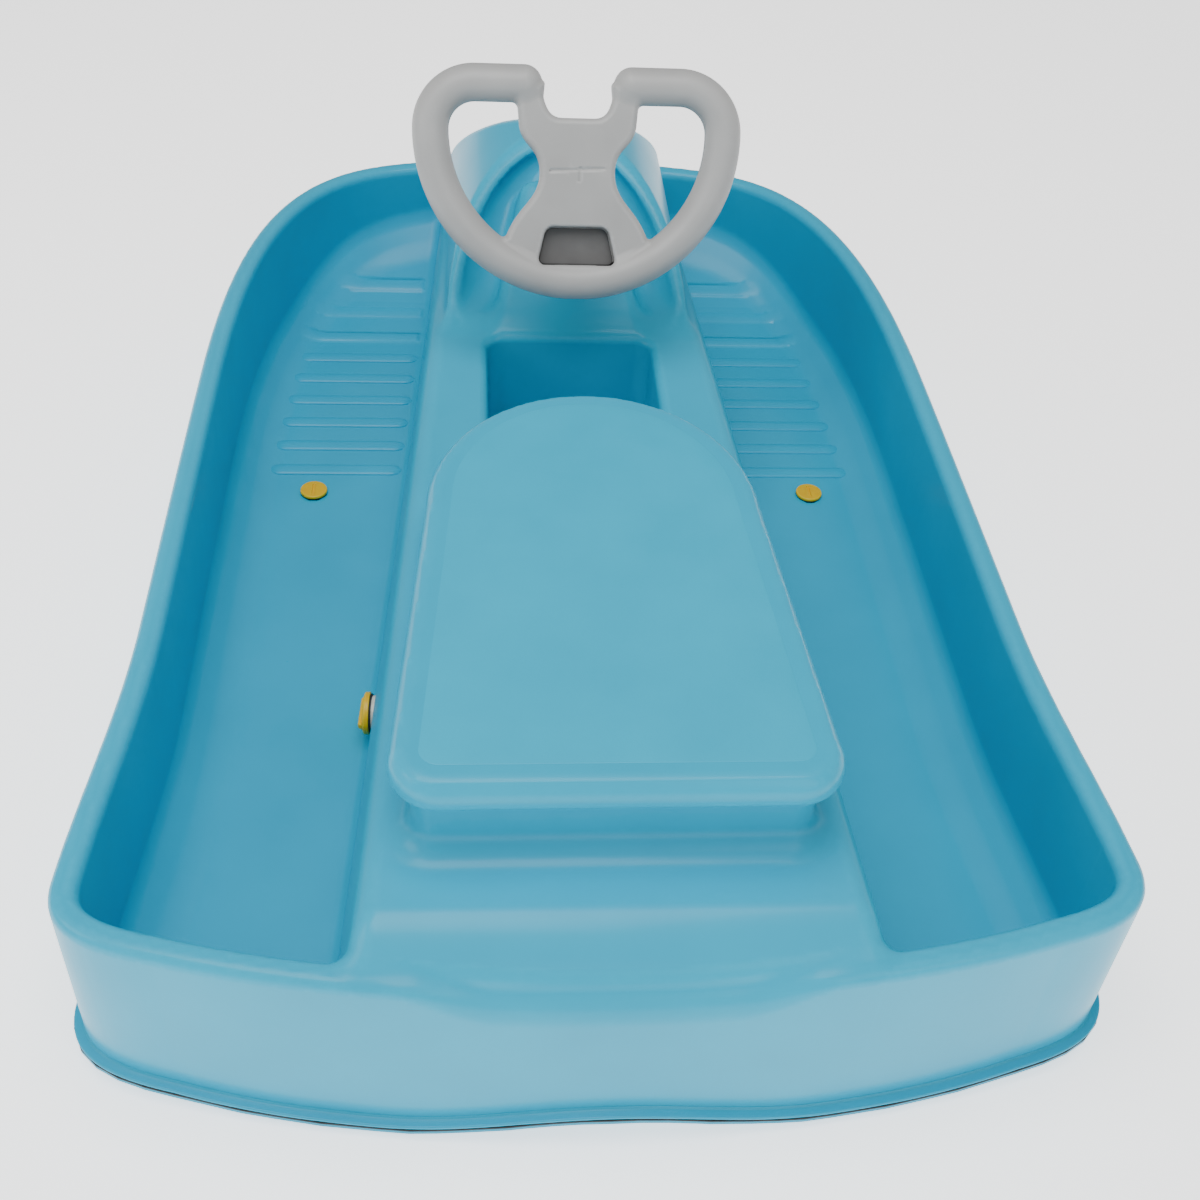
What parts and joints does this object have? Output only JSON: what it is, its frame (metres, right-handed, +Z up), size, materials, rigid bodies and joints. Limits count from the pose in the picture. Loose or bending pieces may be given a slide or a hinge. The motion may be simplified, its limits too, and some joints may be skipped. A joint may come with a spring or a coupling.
{
  "type": "pedal boat",
  "caption": "Child's sit-on pool boat: open moulded hull with a raised seat pedestal and console, yoke steering wheel, cable-worked rudder and pull-out drain plugs.",
  "frame": {"origin": "on the ground at mid-hull: the bottom centre of the bounding box", "axes": "+X starboard, +Y towards the bow, +Z up"},
  "size_m": [0.764, 1.182, 0.4471],
  "materials": {
    "blue_polyethylene": "rotomoulded polyethylene, glossy",
    "grey_polyethylene": "moulded polyethylene, satin",
    "yellow_plastic": "moulded polyethylene, glossy",
    "natural_plastic": "natural nylon",
    "black_plastic": "black nylon, satin",
    "gasket_rubber": "matt",
    "white_foam": "closed-cell foam",
    "stainless_steel": "bright stainless",
    "galvanised_steel": "zinc plated",
    "aluminium_tube": "drawn",
    "cable_jacket": "vinyl-coated steel cable"
  },
  "bodies": {
    "root": {"deck_shell": "blue_polyethylene", "bottom_pan": "blue_polyethylene", "hull_gasket": "gasket_rubber", "hull_screws": "stainless_steel", "floor_foam_port": "white_foam", "floor_foam_starboard": "white_foam", "seat_foam_port": "white_foam", "seat_foam_starboard": "white_foam", "drain_sleeve_port": "natural_plastic", "drain_sleeve_starboard": "natural_plastic", "bung_socket": "natural_plastic", "column_tube": "black_plastic", "tube_screws": "stainless_steel", "upper_bush": "natural_plastic", "lower_bush": "natural_plastic", "sheave_axle": "stainless_steel", "sheave_bracket": "galvanised_steel", "bracket_screws": "stainless_steel", "steering_cable": "cable_jacket", "stock_bush": "natural_plastic", "stock_bracket": "galvanised_steel"},
    "steering": {"wheel_front_shell": "grey_polyethylene", "wheel_rear_shell": "grey_polyethylene", "wheel_screws": "stainless_steel", "wheel_pin": "stainless_steel", "steering_column": "aluminium_tube", "cable_drum": "black_plastic", "drum_pin": "stainless_steel"},
    "rudder": {"rudder_stock": "stainless_steel", "rudder_blade": "black_plastic", "blade_rivets": "stainless_steel", "rudder_pulley": "black_plastic", "pulley_pin": "stainless_steel", "stock_nut": "stainless_steel"},
    "port_sheave": {"sheave_port": "black_plastic"},
    "starboard_sheave": {"sheave_starboard": "black_plastic"},
    "port_drain_plug": {"drain_plug_port": "yellow_plastic", "drain_seal_port": "gasket_rubber"},
    "starboard_drain_plug": {"drain_plug_starboard": "yellow_plastic", "drain_seal_starboard": "gasket_rubber"},
    "hull_bung": {"bung_plug": "yellow_plastic", "bung_seal": "gasket_rubber"}
  },
  "joints": [
    {"name": "wheel_turn", "type": "hinge", "parent": "root", "child": "steering", "pos_m": [0, 0.15, 0.362], "axis": [0, -0.8572, 0.515], "range_deg": [-84, 84]},
    {"name": "rudder_turn", "type": "hinge", "parent": "root", "child": "rudder", "pos_m": [0, -0.4, 0.04], "axis": [0, 0, 1], "range_deg": [-35.01, 35.01]},
    {"name": "port_sheave_spin", "type": "hinge", "parent": "root", "child": "port_sheave", "pos_m": [-0.025, 0.24719, 0.083], "axis": [1, 0, 0], "range_deg": [-117, 117]},
    {"name": "starboard_sheave_spin", "type": "hinge", "parent": "root", "child": "starboard_sheave", "pos_m": [0.025, 0.24719, 0.083], "axis": [1, 0, 0], "range_deg": [-117, 117]},
    {"name": "port_drain_pull", "type": "slide", "parent": "root", "child": "port_drain_plug", "axis": [0, 0, 1], "range_m": [0, 0.03]},
    {"name": "starboard_drain_pull", "type": "slide", "parent": "root", "child": "starboard_drain_plug", "axis": [0, 0, 1], "range_m": [0, 0.03]},
    {"name": "bung_pull", "type": "slide", "parent": "root", "child": "hull_bung", "axis": [-0.9985, 0.054, 0], "range_m": [0, 0.03]}
  ],
  "couplings": [
    {"joint": "rudder_turn", "follows": "wheel_turn", "ratio": -0.41667},
    {"joint": "starboard_sheave_spin", "follows": "wheel_turn", "ratio": 1.3889},
    {"joint": "port_sheave_spin", "follows": "wheel_turn", "ratio": -1.3889}
  ]
}
